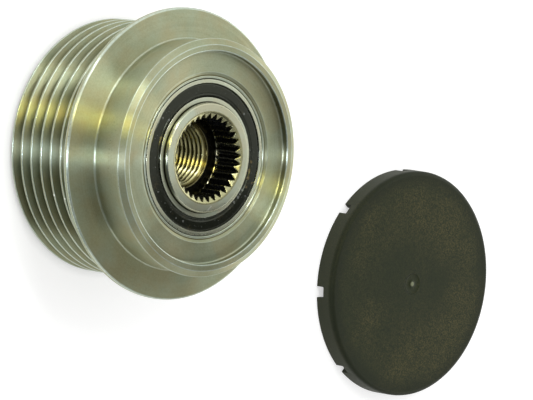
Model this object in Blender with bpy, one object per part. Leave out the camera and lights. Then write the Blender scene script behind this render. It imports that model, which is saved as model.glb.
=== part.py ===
"""Overrunning alternator pulley with its protective cap taken off and laid beside it.

Units are metres, +Z up. The pulley stands on the rear end of its hub, front end up, and the cap
lies on the same surface with its outer face up. The middle of both is the origin.
"""

import math

import bmesh
import bpy
from mathutils import Matrix, Vector

MM = 0.001

# How finely round things are divided
RING_SIDES = 44
HUB_SIDES = 36
BEARING_SIDES = 26
CAP_SIDES = 48

# Clearances: seats that are pressed together, things that run past each other, and grease room
FIT_GAP = 0.3 * MM
RUN_GAP = 0.3 * MM
BALL_GAP = 0.25 * MM

# Belt ribs: a V-ribbed belt profile, counted and pitched from the photograph
GROOVE_COUNT = 6
GROOVE_PITCH = 3.56 * MM
GROOVE_ANGLE = math.radians(40)
GROOVE_DEPTH = 2.9 * MM
CREST_WIDTH = 0.55 * MM
RIB_R = 31.1 * MM
REAR_LAND = 0.5 * MM

# Flange in front of the ribs, with a face that rises a little towards the collar
FLANGE_LAND = 2.6 * MM
FLANGE_R = 35.1 * MM
FLANGE_THICKNESS = 1.4 * MM
FLANGE_EDGE = 0.35 * MM
FLANGE_RISE = 1.1 * MM

# Collar in front of the flange: a neck, and the lip that the cap snaps over
NECK_R = 27.7 * MM
NECK_FILLET = 0.5 * MM
NECK_HEIGHT = 8.2 * MM
LIP_PROUD = 0.7 * MM
LIP_STEP = 0.35 * MM
LIP_LAND = 0.5 * MM
LIP_CHAMFER_R = 1.5 * MM
LIP_CHAMFER_Z = 0.8 * MM
COLLAR_WALL = 3.0 * MM
RECESS_DEPTH = 1.6 * MM
RECESS_FILLET = 0.4 * MM
MOUTH_CHAMFER = 0.9 * MM
MOUTH_LEDGE = 0.7 * MM
MOUTH_DEPTH = 0.35 * MM
REAR_CHAMFER = 0.5 * MM

# Two thin-section ball bearings, alike and back to back: 25 mm bore, 37 mm outside
BEARING_OUTER_R = 18.5 * MM
BEARING_BORE_SHARE = 25 / 37
BEARING_WIDTH = 7.0 * MM
RACE_CHAMFER = 0.3 * MM
BALL_COUNT = 12
SEAL_SEAT_DEPTH = 1.3 * MM
SEAL_SINK = 0.12 * MM
SEAL_THICKNESS = 0.75 * MM
SEAL_LIP_GAP = 0.2 * MM
SEAL_FIT = 0.15 * MM
CAGE_BACK = 0.8 * MM
FRONT_BEARING_SINK = 0.25 * MM
REAR_BEARING_SINK = 1.2 * MM

# Shares of a bearing's section: each race's wall at its land, the ball, the wall round the
# seal, and the step between the bearing's seat and the clutch's bore
RACE_SHARE = 0.3083
BALL_SHARE = 0.2833
SEAL_WALL_SHARE = 0.125
CLUTCH_STEP_SHARE = 0.4083

# Hub: it carries both bearings, screws onto the shaft and takes the spline key
HUB_PROUD_REAR = 1.0 * MM
HUB_PROUD_FRONT = 1.15 * MM
HUB_SHOULDER = 1.0 * MM
HUB_EDGE = 0.35 * MM
HUB_WALL = 1.6 * MM
SPLINE_TEETH = 33
SPLINE_DEPTH = 1.15 * MM
SPLINE_LENGTH = 7.8 * MM
SPLINE_LEAD = 0.15 * MM
SPLINE_LEAD_Z = 0.75 * MM
SPLINE_TOP_SHARE = 0.14
SPLINE_OVERCUT = 0.1 * MM
UNDERCUT_DEPTH = 0.3 * MM
UNDERCUT_WIDTH = 1.2 * MM
THREAD_STEP = 1.45 * MM
THREAD_PITCH = 1.5 * MM
THREAD_MOUTH = 0.1 * MM
PILOT_ROOM = 0.5 * MM
PILOT_DEPTH = 9.5 * MM
PILOT_CHAMFER = 0.6 * MM

# One-way roller clutch between the bearings: a drawn cup with ramps, and its cage
CUP_WALL = 0.6 * MM
CUP_LIP = 0.7 * MM
CUP_LIP_GAP = 1.4 * MM
RAMP_RISE = 0.45 * MM
RAMP_STEPS = 6
ROLLER_COUNT = 8
ROLLER_LENGTH = 12.0 * MM
ROLLER_GAP = 0.15 * MM
WINDOW_SPRING_SHARE = 1.84
WINDOW_GAP = 0.25 * MM
CLUTCH_CAGE_GAP = 0.35 * MM
SPRING_WIDTH = 7.0 * MM
SPRING_THICKNESS = 0.18 * MM
SPRING_GAP = 0.15 * MM

# Cap: a moulded disc whose skirt snaps over the collar's lip
CAP_WALL = 1.6 * MM
CAP_TOP = 1.5 * MM
CAP_CLEARANCE = 0.45 * MM
CAP_EDGE = 1.0 * MM
CAP_DRAFT = 0.1 * MM
CAP_SKIRT = 4.4 * MM
CAP_BEAD = 0.7 * MM
CAP_BEAD_HEIGHT = 1.1 * MM
CAP_NOTCHES = 8
CAP_NOTCH_TURN = math.radians(22.5)
CAP_NOTCH_WIDTH = 3.0 * MM
CAP_NOTCH_HEIGHT = 2.5 * MM
GATE_R = 0.85 * MM
GATE_HEIGHT = 0.25 * MM
GATE_DISH_R = 2.6 * MM
GATE_DISH_DEPTH = 0.12 * MM

# Where the cap lies
CAP_DISTANCE = 112.7 * MM

# Shown size of the empties that mark an axis
MARK_SIZE = 5 * MM

# Sizes that follow from those above
GROOVE_WIDTH = GROOVE_PITCH - CREST_WIDTH
ROOT_WIDTH = GROOVE_WIDTH - 2 * GROOVE_DEPTH * math.tan(GROOVE_ANGLE / 2)
RIBS_END = REAR_LAND + GROOVE_COUNT * GROOVE_PITCH - CREST_WIDTH
FLANGE_BACK = RIBS_END + FLANGE_LAND
FLANGE_FRONT = FLANGE_BACK + FLANGE_THICKNESS
COLLAR_BASE = FLANGE_FRONT + FLANGE_RISE
LIP_BASE = COLLAR_BASE + NECK_HEIGHT
LIP_R = NECK_R + LIP_PROUD
RECESS_R = LIP_R - COLLAR_WALL
LIP_TOP = LIP_BASE + LIP_STEP + LIP_LAND + LIP_CHAMFER_Z
RECESS_Z = LIP_TOP - RECESS_DEPTH
FRONT_BEARING_Z = RECESS_Z - FRONT_BEARING_SINK
REAR_BEARING_Z = REAR_BEARING_SINK
BEARING_BORE_R = BEARING_OUTER_R * BEARING_BORE_SHARE
SEAT_R = BEARING_OUTER_R + FIT_GAP
HUB_SEAT_R = BEARING_BORE_R - FIT_GAP
HUB_SHOULDER_R = HUB_SEAT_R + HUB_SHOULDER
BEARING_SECTION = BEARING_OUTER_R - BEARING_BORE_R
INNER_LAND_R = BEARING_BORE_R + RACE_SHARE * BEARING_SECTION
OUTER_LAND_R = BEARING_OUTER_R - RACE_SHARE * BEARING_SECTION
SEAL_SEAT_R = BEARING_OUTER_R - SEAL_WALL_SHARE * BEARING_SECTION
BALL_R = BALL_SHARE * BEARING_SECTION
BALL_CIRCLE_R = (INNER_LAND_R + OUTER_LAND_R) / 2
TRACK_R = BALL_R + BALL_GAP
HUB_TOP = HUB_PROUD_REAR + FRONT_BEARING_Z + HUB_PROUD_FRONT
SPLINE_ROOT_R = HUB_SEAT_R - HUB_WALL
SPLINE_TIP_R = SPLINE_ROOT_R - SPLINE_DEPTH
SPLINE_LEAD_R = SPLINE_ROOT_R + SPLINE_LEAD
UNDERCUT_R = SPLINE_ROOT_R + UNDERCUT_DEPTH
THREAD_MAJOR_R = SPLINE_TIP_R - THREAD_STEP
THREAD_MINOR_R = THREAD_MAJOR_R - 0.5413 * THREAD_PITCH
THREAD_MOUTH_R = THREAD_MAJOR_R + THREAD_MOUTH
PILOT_R = THREAD_MAJOR_R + PILOT_ROOM
CLUTCH_BOTTOM = REAR_BEARING_Z + BEARING_WIDTH + FIT_GAP
CLUTCH_TOP = FRONT_BEARING_Z - BEARING_WIDTH - FIT_GAP
CLUTCH_BORE_R = SEAT_R - CLUTCH_STEP_SHARE * BEARING_SECTION
CUP_R = CLUTCH_BORE_R - FIT_GAP
CUP_LIP_R = HUB_SEAT_R + CUP_LIP_GAP
RAMP_R = CUP_R - CUP_WALL - RAMP_RISE
ROLLER_R = (RAMP_R - HUB_SEAT_R) / 2 - ROLLER_GAP
ROLLER_CIRCLE_R = HUB_SEAT_R + ROLLER_GAP + ROLLER_R
CAP_INNER_R = LIP_R + CAP_CLEARANCE
CAP_R = CAP_INNER_R + CAP_WALL + CAP_DRAFT
CAP_HEIGHT = CAP_SKIRT + CAP_TOP
PULLEY_X = -(FLANGE_R + CAP_DISTANCE + CAP_R) / 2 + FLANGE_R
CAP_X = PULLEY_X + CAP_DISTANCE


def clear_scene():
    for old in list(bpy.data.objects):
        bpy.data.objects.remove(old, do_unlink=True)


def make_material(name, colour, roughness, metallic):
    material = bpy.data.materials.new(name)
    material.use_nodes = True
    shader = material.node_tree.nodes["Principled BSDF"]
    shader.inputs["Base Color"].default_value = (*colour, 1.0)
    shader.inputs["Roughness"].default_value = roughness
    shader.inputs["Metallic"].default_value = metallic
    return material


def make_object(name, shape, material, parent, place=(0.0, 0.0, 0.0), turn=0.0):
    """Turns a bmesh into a named object that hangs from its parent."""
    bmesh.ops.recalc_face_normals(shape, faces=shape.faces[:])
    if shape.calc_volume(signed=True) < 0:
        bmesh.ops.reverse_faces(shape, faces=shape.faces[:])
    mesh = bpy.data.meshes.new(name)
    shape.to_mesh(mesh)
    shape.free()
    mesh.materials.append(material)
    mesh.shade_smooth()
    mesh.set_sharp_from_angle(angle=math.radians(28))
    thing = bpy.data.objects.new(name, mesh)
    bpy.context.scene.collection.objects.link(thing)
    thing.parent = parent
    thing.location = place
    thing.rotation_euler = (0.0, 0.0, turn)
    return thing


def make_empty(name, place, parent=None):
    empty = bpy.data.objects.new(name, None)
    bpy.context.scene.collection.objects.link(empty)
    empty.empty_display_size = MARK_SIZE
    empty.location = place
    empty.parent = parent
    return empty


def arc(centre_r, centre_z, radius, start, end, steps):
    """Points on an arc in the radius and height plane, angles in degrees from the radius."""
    points = []
    for step in range(steps + 1):
        angle = math.radians(start + (end - start) * step / steps)
        points.append((centre_r + radius * math.cos(angle), centre_z + radius * math.sin(angle)))
    return points


def turned(outline, sides):
    """A solid of revolution about Z from a closed outline of (radius, height) points."""
    shape = bmesh.new()
    corners = [shape.verts.new((radius, 0.0, height)) for radius, height in outline]
    edges = [shape.edges.new(pair) for pair in zip(corners, corners[1:])]
    if outline[0][0] > 0:
        edges.append(shape.edges.new((corners[-1], corners[0])))
    bmesh.ops.spin(
        shape,
        geom=corners + edges,
        cent=(0.0, 0.0, 0.0),
        axis=(0.0, 0.0, 1.0),
        angle=math.tau,
        steps=sides,
        use_merge=True,
    )
    bmesh.ops.remove_doubles(shape, verts=shape.verts[:], dist=0.001 * MM)
    return shape


def swept_rings(rings):
    """A closed tube of faces over rings of equal length, the last joined to the first."""
    shape = bmesh.new()
    rows = [[shape.verts.new(point) for point in ring] for ring in rings]
    count = len(rows[0])
    for row, after in zip(rows, rows[1:] + rows[:1]):
        for index in range(count):
            following = (index + 1) % count
            shape.faces.new((row[index], row[following], after[following], after[index]))
    return shape


def extruded(outline, bottom, height):
    """A prism from a flat outline of (x, y) points."""
    shape = bmesh.new()
    corners = [shape.verts.new((x, y, bottom)) for x, y in outline]
    face = shape.faces.new(corners)
    grown = bmesh.ops.extrude_face_region(shape, geom=[face])
    raised = [item for item in grown["geom"] if isinstance(item, bmesh.types.BMVert)]
    bmesh.ops.translate(shape, verts=raised, vec=(0.0, 0.0, height))
    return shape


def polar(radius, angle, height):
    return Vector((radius * math.cos(angle), radius * math.sin(angle), height))


def cut(target, shape, name):
    """Cuts a bmesh out of an object with an exact Boolean, and keeps the cutter as a guide."""
    material = target.data.materials[0]
    tool = make_object(name, shape, material, target.parent, target.location)
    tool.rotation_euler = target.rotation_euler
    tool.hide_render = True
    tool.display_type = "WIRE"
    boolean = target.modifiers.new(name, "BOOLEAN")
    boolean.operation = "DIFFERENCE"
    boolean.solver = "EXACT"
    boolean.object = tool
    return tool


def rib_outline():
    """The belt grooves from the rear land forwards, four corners to a groove."""
    flank = GROOVE_DEPTH * math.tan(GROOVE_ANGLE / 2)
    points = []
    for groove in range(GROOVE_COUNT):
        start = REAR_LAND + groove * GROOVE_PITCH
        points.append((RIB_R, start))
        points.append((RIB_R - GROOVE_DEPTH, start + flank))
        points.append((RIB_R - GROOVE_DEPTH, start + flank + ROOT_WIDTH))
        points.append((RIB_R, start + GROOVE_WIDTH))
    return points


def collar_outline():
    """From the flange's back, over its rim and face, up the neck and over the snap lip."""
    points = [(RIB_R, FLANGE_BACK)]
    points += [(FLANGE_R - FLANGE_EDGE, FLANGE_BACK), (FLANGE_R, FLANGE_BACK + FLANGE_EDGE)]
    points += [(FLANGE_R, FLANGE_FRONT - FLANGE_EDGE), (FLANGE_R - FLANGE_EDGE, FLANGE_FRONT)]
    fillet_r = NECK_R + NECK_FILLET
    points += arc(fillet_r, COLLAR_BASE + NECK_FILLET, NECK_FILLET, 270, 180, 2)
    points += [(NECK_R, LIP_BASE), (LIP_R, LIP_BASE + LIP_STEP)]
    points += [(LIP_R, LIP_BASE + LIP_STEP + LIP_LAND), (LIP_R - LIP_CHAMFER_R, LIP_TOP)]
    points += [(RECESS_R, LIP_TOP)]
    corner_r = RECESS_R - RECESS_FILLET
    points += arc(corner_r, RECESS_Z + RECESS_FILLET, RECESS_FILLET, 0, -90, 2)
    return points


def bore_outline():
    """Down through the bore: its mouth, front bearing seat, clutch bore, rear bearing seat."""
    return [
        (SEAT_R + MOUTH_LEDGE + MOUTH_CHAMFER, RECESS_Z),
        (SEAT_R + MOUTH_LEDGE, RECESS_Z - MOUTH_DEPTH),
        (SEAT_R, RECESS_Z - MOUTH_DEPTH),
        (SEAT_R, CLUTCH_TOP),
        (CLUTCH_BORE_R, CLUTCH_TOP),
        (CLUTCH_BORE_R, CLUTCH_BOTTOM),
        (SEAT_R, CLUTCH_BOTTOM),
        (SEAT_R, REAR_CHAMFER),
        (SEAT_R + REAR_CHAMFER, 0.0),
        (RIB_R, 0.0),
    ]


def build_ring(material, parent):
    """The turned pulley body: six belt grooves, flange, collar with its recess, and bore."""
    outline = rib_outline() + collar_outline() + bore_outline()
    make_object("pulley_ring", turned(outline, RING_SIDES), material, parent)


def hub_outline():
    """The hub's section, in heights from its own rear end."""
    rear_seat = CLUTCH_TOP + FIT_GAP + BEARING_WIDTH + HUB_PROUD_REAR
    shoulder = rear_seat + FIT_GAP
    spline_end = HUB_TOP - SPLINE_LENGTH
    floor = spline_end - UNDERCUT_WIDTH
    lead = THREAD_MOUTH_R - THREAD_MINOR_R
    return [
        (PILOT_R + PILOT_CHAMFER, 0.0),
        (HUB_SEAT_R - HUB_EDGE, 0.0),
        (HUB_SEAT_R, HUB_EDGE),
        (HUB_SEAT_R, shoulder),
        (HUB_SHOULDER_R, shoulder),
        (HUB_SHOULDER_R, HUB_TOP - HUB_EDGE),
        (HUB_SHOULDER_R - HUB_EDGE, HUB_TOP),
        (SPLINE_LEAD_R, HUB_TOP),
        (SPLINE_TIP_R, HUB_TOP - SPLINE_LEAD_Z),
        (SPLINE_TIP_R, spline_end),
        (UNDERCUT_R, spline_end),
        (UNDERCUT_R, floor),
        (THREAD_MOUTH_R, floor),
        (THREAD_MINOR_R, floor - lead),
        (THREAD_MINOR_R, PILOT_DEPTH + lead),
        (PILOT_R, PILOT_DEPTH),
        (PILOT_R, PILOT_CHAMFER),
    ]


def spline_outline():
    """A star with one point for each space between the spline's teeth."""
    pitch = math.tau / SPLINE_TEETH
    root_half = SPLINE_TOP_SHARE * pitch / 2
    tip_half = pitch / 2 - root_half
    flare = (tip_half - root_half) / (SPLINE_ROOT_R - SPLINE_TIP_R)
    inner_r = SPLINE_TIP_R - SPLINE_OVERCUT
    inner_half = tip_half + flare * SPLINE_OVERCUT
    points = []
    for space in range(SPLINE_TEETH):
        for half, radius in (
            (-inner_half, inner_r),
            (-root_half, SPLINE_ROOT_R),
            (root_half, SPLINE_ROOT_R),
            (inner_half, inner_r),
        ):
            points.append(polar(radius, space * pitch + half, 0.0)[:2])
    return points


def build_hub(material, parent):
    """The hub, with the key spline cut between its front end and the undercut."""
    hub = make_object("hub", turned(hub_outline(), HUB_SIDES), material, parent)
    bottom = HUB_TOP - SPLINE_LENGTH - UNDERCUT_WIDTH / 2
    spline = extruded(spline_outline(), bottom, HUB_TOP + 1 * MM - bottom)
    cut(hub, spline, "spline_cutter")


def track(land_r, side):
    """The ball track between two edges of a race's land, from the sealed side inwards."""
    reach = abs(land_r - BALL_CIRCLE_R)
    half = math.degrees(math.acos(reach / TRACK_R))
    middle = 0 if side > 0 else 180
    turn = -1 if side > 0 else 1
    depth = BEARING_WIDTH / 2
    return [
        (radius, depth - (height - depth))
        for radius, height in arc(
            BALL_CIRCLE_R, depth, TRACK_R, middle - turn * half, middle + turn * half, 4
        )
    ]


def outer_race_outline():
    """Heights count from the sealed face into the bearing."""
    edge = RACE_CHAMFER
    return [
        (SEAL_SEAT_R, 0.0),
        (BEARING_OUTER_R - edge, 0.0),
        (BEARING_OUTER_R, edge),
        (BEARING_OUTER_R, BEARING_WIDTH - edge),
        (BEARING_OUTER_R - edge, BEARING_WIDTH),
        (OUTER_LAND_R, BEARING_WIDTH),
        *reversed(track(OUTER_LAND_R, 1)),
        (OUTER_LAND_R, SEAL_SEAT_DEPTH),
        (SEAL_SEAT_R, SEAL_SEAT_DEPTH),
    ]


def inner_race_outline():
    edge = RACE_CHAMFER
    return [
        (BEARING_BORE_R + edge, 0.0),
        (INNER_LAND_R, 0.0),
        *track(INNER_LAND_R, -1),
        (INNER_LAND_R, BEARING_WIDTH),
        (BEARING_BORE_R + edge, BEARING_WIDTH),
        (BEARING_BORE_R, BEARING_WIDTH - edge),
        (BEARING_BORE_R, edge),
    ]


def seal_outline():
    """A rubber washer, thick where the outer race holds it and thin at its lip."""
    outer_r = SEAL_SEAT_R - SEAL_FIT
    lip_r = INNER_LAND_R + SEAL_LIP_GAP
    waist_r = (outer_r + lip_r) / 2
    back = SEAL_SINK + SEAL_THICKNESS
    return [
        (lip_r, SEAL_SINK),
        (outer_r, SEAL_SINK),
        (outer_r, back + SEAL_SINK),
        (waist_r, back + SEAL_SINK),
        (waist_r, back - SEAL_SINK),
        (lip_r, back - SEAL_SINK),
    ]


def cage_shape():
    """A snap cage: a flat ring behind the balls, with fingers between round pockets."""
    inner_r = INNER_LAND_R + RUN_GAP
    outer_r = OUTER_LAND_R - RUN_GAP
    middle = BEARING_WIDTH / 2
    pocket_r = BALL_R + BALL_GAP
    back = middle + pocket_r + CAGE_BACK
    half = pocket_r / BALL_CIRCLE_R
    angles = []
    fronts = []
    for ball in range(BALL_COUNT):
        for step in (-1.0, -0.5, 0.5, 1.0):
            angles.append(ball * math.tau / BALL_COUNT + step * half)
            fronts.append(middle + pocket_r * math.sqrt(1 - step * step))
    return swept_rings(
        [
            [polar(inner_r, angle, front) for angle, front in zip(angles, fronts)],
            [polar(outer_r, angle, front) for angle, front in zip(angles, fronts)],
            [polar(outer_r, angle, back) for angle in angles],
            [polar(inner_r, angle, back) for angle in angles],
        ]
    )


def facing(shape, direction):
    """Lays a bearing piece with its sealed face at height 0 and its width behind it."""
    if direction > 0:
        bmesh.ops.scale(shape, vec=(1.0, 1.0, -1.0), verts=shape.verts[:])
    return shape


def build_bearing(place, direction, face, looks, fixed, spinning):
    """One sealed bearing. Direction is the way its sealed face looks along Z."""
    steel, cage_look, rubber = looks
    spot = (0.0, 0.0, face)
    pieces = (
        ("outer_race", outer_race_outline(), steel, spinning),
        ("inner_race", inner_race_outline(), steel, fixed),
        ("seal", seal_outline(), rubber, spinning),
    )
    for piece, outline, look, parent in pieces:
        shape = facing(turned(outline, BEARING_SIDES), direction)
        height = face if parent is spinning else face + HUB_PROUD_REAR
        make_object(f"{place}_{piece}", shape, look, parent, (0.0, 0.0, height))
    train = make_empty(f"{place}_ball_train", spot, spinning.parent)
    train.location.z += HUB_PROUD_REAR
    make_object(f"{place}_cage", facing(cage_shape(), direction), cage_look, train)
    depth = -direction * BEARING_WIDTH / 2
    for ball in range(BALL_COUNT):
        sphere = bmesh.new()
        bmesh.ops.create_icosphere(sphere, subdivisions=2, radius=BALL_R)
        spot = polar(BALL_CIRCLE_R, ball * math.tau / BALL_COUNT, depth)
        make_object(f"{place}_ball_{ball + 1:02d}", sphere, steel, train, spot)


def ramp_radius(angle):
    """The cup's inner radius: each ramp rises from its roller towards its spring."""
    pitch = math.tau / ROLLER_COUNT
    share = (angle / pitch + 1 / RAMP_STEPS) % 1.0
    last = 1 - 1 / RAMP_STEPS
    return RAMP_R + RAMP_RISE * min(share / last, (1.0 - share) * RAMP_STEPS)


def build_cup(material, parent):
    """The drawn cup pressed into the pulley, with a ramp for each roller and turned-in ends."""
    steps = ROLLER_COUNT * RAMP_STEPS
    angles = [math.tau * step / steps for step in range(steps)]
    inner_bottom = CLUTCH_BOTTOM + CUP_LIP
    inner_top = CLUTCH_TOP - CUP_LIP
    rings = [
        [polar(CUP_LIP_R, angle, CLUTCH_BOTTOM) for angle in angles],
        [polar(CUP_R, angle, CLUTCH_BOTTOM) for angle in angles],
        [polar(CUP_R, angle, CLUTCH_TOP) for angle in angles],
        [polar(CUP_LIP_R, angle, CLUTCH_TOP) for angle in angles],
        [polar(CUP_LIP_R, angle, inner_top) for angle in angles],
        [polar(ramp_radius(angle), angle, inner_top) for angle in angles],
        [polar(ramp_radius(angle), angle, inner_bottom) for angle in angles],
        [polar(CUP_LIP_R, angle, inner_bottom) for angle in angles],
    ]
    make_object("clutch_cup", swept_rings(rings), material, parent)


def window_box():
    """The room in the clutch cage for one roller and its spring, about the roller's axis."""
    width = ROLLER_R + WINDOW_GAP
    return (-width, width + WINDOW_SPRING_SHARE * ROLLER_R)


def build_clutch_cage(material, parent):
    """A moulded ring inside the cup, with a window for each roller and spring."""
    inner_r = HUB_SEAT_R + CLUTCH_CAGE_GAP
    outer_r = RAMP_R - CLUTCH_CAGE_GAP
    bottom = CLUTCH_BOTTOM + CUP_LIP + RUN_GAP
    top = CLUTCH_TOP - CUP_LIP - RUN_GAP
    outline = [(inner_r, bottom), (outer_r, bottom), (outer_r, top), (inner_r, top)]
    cage = make_object("clutch_cage", turned(outline, HUB_SIDES), material, parent)
    near, far = window_box()
    low = (bottom + top - ROLLER_LENGTH) / 2 - WINDOW_GAP
    tool = bmesh.new()
    for window in range(ROLLER_COUNT):
        turn = Matrix.Rotation(window * math.tau / ROLLER_COUNT, 4, "Z")
        corners = [(inner_r - 1 * MM, near), (outer_r + 1 * MM, near)]
        corners += [(outer_r + 1 * MM, far), (inner_r - 1 * MM, far)]
        box = extruded(corners, low, ROLLER_LENGTH + 2 * WINDOW_GAP)
        box.transform(turn)
        piece = bpy.data.meshes.new("window")
        box.to_mesh(piece)
        box.free()
        tool.from_mesh(piece)
        bpy.data.meshes.remove(piece)
    cut(cage, tool, "window_cutter")


def build_rollers(steel, spring_steel, parent):
    """Rollers at the low ends of their ramps, each with a leaf spring behind it."""
    middle = (CLUTCH_BOTTOM + CLUTCH_TOP) / 2
    far = window_box()[1]
    start = ROLLER_R + SPRING_GAP
    end = far - SPRING_GAP
    for number in range(ROLLER_COUNT):
        turn = number * math.tau / ROLLER_COUNT
        roller = bmesh.new()
        bmesh.ops.create_cone(
            roller,
            cap_ends=True,
            segments=10,
            radius1=ROLLER_R,
            radius2=ROLLER_R,
            depth=ROLLER_LENGTH,
        )
        spot = polar(ROLLER_CIRCLE_R, turn, middle)
        make_object(f"clutch_roller_{number + 1}", roller, steel, parent, spot, turn)
        spring = extruded(spring_outline(start, end), -SPRING_WIDTH / 2, SPRING_WIDTH)
        name = f"clutch_spring_{number + 1}"
        make_object(name, spring, spring_steel, parent, spot, turn)


def spring_outline(start, end):
    """A folded leaf: it stands on the window's wall and leans on the roller."""
    low = -0.75 * ROLLER_R
    high = 0.75 * ROLLER_R
    bend = (start + end) / 2
    slope = (bend - start) / (high - low)
    wall = SPRING_THICKNESS * math.hypot(1, slope)
    outside = [(low, start), (high, bend), (low, end)]
    inside = [(low, end - wall), (high - wall / slope, bend), (low, start + wall)]
    return outside + inside


def cap_outline():
    """From the gate in the middle of the face, over the edge, down the skirt and back inside."""
    top = CAP_HEIGHT
    bead_top = CAP_SKIRT - (LIP_TOP - LIP_BASE) - FIT_GAP
    inner_r = CAP_INNER_R
    bead_r = LIP_R - CAP_BEAD + CAP_CLEARANCE
    corner_r = CAP_R - CAP_DRAFT - CAP_EDGE
    return [
        (0.0, top + GATE_HEIGHT - GATE_DISH_DEPTH),
        (GATE_R * 0.8, top + GATE_HEIGHT - GATE_DISH_DEPTH),
        (GATE_R, top - GATE_DISH_DEPTH),
        (GATE_DISH_R, top - GATE_DISH_DEPTH),
        (GATE_DISH_R + GATE_DISH_DEPTH, top),
        *arc(corner_r, top - CAP_EDGE, CAP_EDGE, 90, 0, 4),
        (CAP_R, 0.0),
        (inner_r + CAP_BEAD / 2, 0.0),
        (inner_r, CAP_BEAD / 2),
        (inner_r, bead_top - CAP_BEAD_HEIGHT),
        (bead_r, bead_top - CAP_BEAD_HEIGHT / 2),
        (inner_r, bead_top),
        (inner_r, CAP_SKIRT),
        (0.0, CAP_SKIRT),
    ]


def build_cap(material, parent):
    """The cap, with notches round the rim that let its skirt spread over the lip."""
    cap = make_object("protective_cap", turned(cap_outline(), CAP_SIDES), material, parent)
    tool = bmesh.new()
    half = CAP_NOTCH_WIDTH / 2
    for notch in range(CAP_NOTCHES):
        angle = CAP_NOTCH_TURN + notch * math.tau / CAP_NOTCHES
        inside = CAP_INNER_R - 2 * MM
        outside = CAP_R + 2 * MM
        corners = [(inside, -half), (outside, -half), (outside, half), (inside, half)]
        box = extruded(corners, -1 * MM, CAP_NOTCH_HEIGHT + 1 * MM)
        box.transform(Matrix.Rotation(angle, 4, "Z"))
        piece = bpy.data.meshes.new("notch")
        box.to_mesh(piece)
        box.free()
        tool.from_mesh(piece)
        bpy.data.meshes.remove(piece)
    cut(cap, tool, "notch_cutter")


def main():
    clear_scene()
    plated = make_material("turned_plated_steel", (0.46, 0.47, 0.36), 0.34, 1.0)
    hub_steel = make_material("hub_steel", (0.60, 0.62, 0.56), 0.30, 1.0)
    race_steel = make_material("bearing_steel", (0.58, 0.59, 0.55), 0.25, 1.0)
    rubber = make_material("seal_rubber", (0.022, 0.023, 0.022), 0.55, 0.0)
    polyamide = make_material("cage_polyamide", (0.10, 0.11, 0.09), 0.55, 0.0)
    cup_steel = make_material("drawn_cup_steel", (0.40, 0.40, 0.38), 0.35, 1.0)
    roller_steel = make_material("roller_steel", (0.62, 0.63, 0.62), 0.18, 1.0)
    spring_steel = make_material("spring_steel", (0.45, 0.42, 0.34), 0.30, 1.0)
    cap_plastic = make_material("cap_plastic", (0.045, 0.048, 0.036), 0.50, 0.0)

    hub_axis = make_empty("pulley_axis", (PULLEY_X, 0.0, 0.0))
    ring_axis = make_empty("ring_axis", (0.0, 0.0, HUB_PROUD_REAR), hub_axis)
    build_hub(hub_steel, hub_axis)
    build_ring(plated, ring_axis)
    looks = (race_steel, polyamide, rubber)
    build_bearing("front", 1, FRONT_BEARING_Z, looks, hub_axis, ring_axis)
    build_bearing("rear", -1, REAR_BEARING_Z, looks, hub_axis, ring_axis)
    build_cup(cup_steel, ring_axis)
    build_clutch_cage(polyamide, ring_axis)
    build_rollers(roller_steel, spring_steel, ring_axis)
    cap_place = make_empty("cap_place", (CAP_X, 0.0, 0.0))
    build_cap(cap_plastic, cap_place)


main()
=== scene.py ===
import math
from collections import namedtuple

import bmesh
import bpy
from mathutils import Matrix, Vector


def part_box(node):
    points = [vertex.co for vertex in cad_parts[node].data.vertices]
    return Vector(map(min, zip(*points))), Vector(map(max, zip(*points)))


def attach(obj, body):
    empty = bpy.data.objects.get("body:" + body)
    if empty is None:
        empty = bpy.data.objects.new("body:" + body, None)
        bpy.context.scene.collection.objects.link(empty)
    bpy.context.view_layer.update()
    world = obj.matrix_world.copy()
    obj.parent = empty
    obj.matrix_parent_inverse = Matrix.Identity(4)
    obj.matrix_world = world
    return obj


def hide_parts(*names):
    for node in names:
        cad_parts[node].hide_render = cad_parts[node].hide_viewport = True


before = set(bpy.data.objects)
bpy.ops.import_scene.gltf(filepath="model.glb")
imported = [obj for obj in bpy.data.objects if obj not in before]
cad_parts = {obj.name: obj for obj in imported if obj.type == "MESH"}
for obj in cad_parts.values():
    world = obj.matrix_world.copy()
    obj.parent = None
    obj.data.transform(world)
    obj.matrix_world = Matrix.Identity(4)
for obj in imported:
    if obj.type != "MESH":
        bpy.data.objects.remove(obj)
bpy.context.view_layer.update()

MM = 0.001


def rgb(r, g, b):
    """An opaque colour, as the shaders take it."""
    return (r, g, b, 1.0)


# The photograph's frame and lens, in pixels
PHOTO_WIDTH = 533
PHOTO_HEIGHT = 400
LENS_PIXELS = 3000.0
SENSOR = 36.0

# The pulley in the camera's own axes (right, up, towards it), in millimetres, as fitted to the
# photograph's ellipses: the middle of the ring's rear face, the way its axis points, the way along
# the floor that runs up the image, and how far +X, which points to the cap, turns from across the
# image towards down it
RING_IN_VIEW = Vector((-38.377, 13.415, -735.878))
AXIS_IN_VIEW = Vector((0.693, -0.097, 0.714))
UPWARDS_IN_VIEW = Vector((0.0675, 0.9953, 0.0696))
CAP_TURN = math.radians(18.5)

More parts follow.
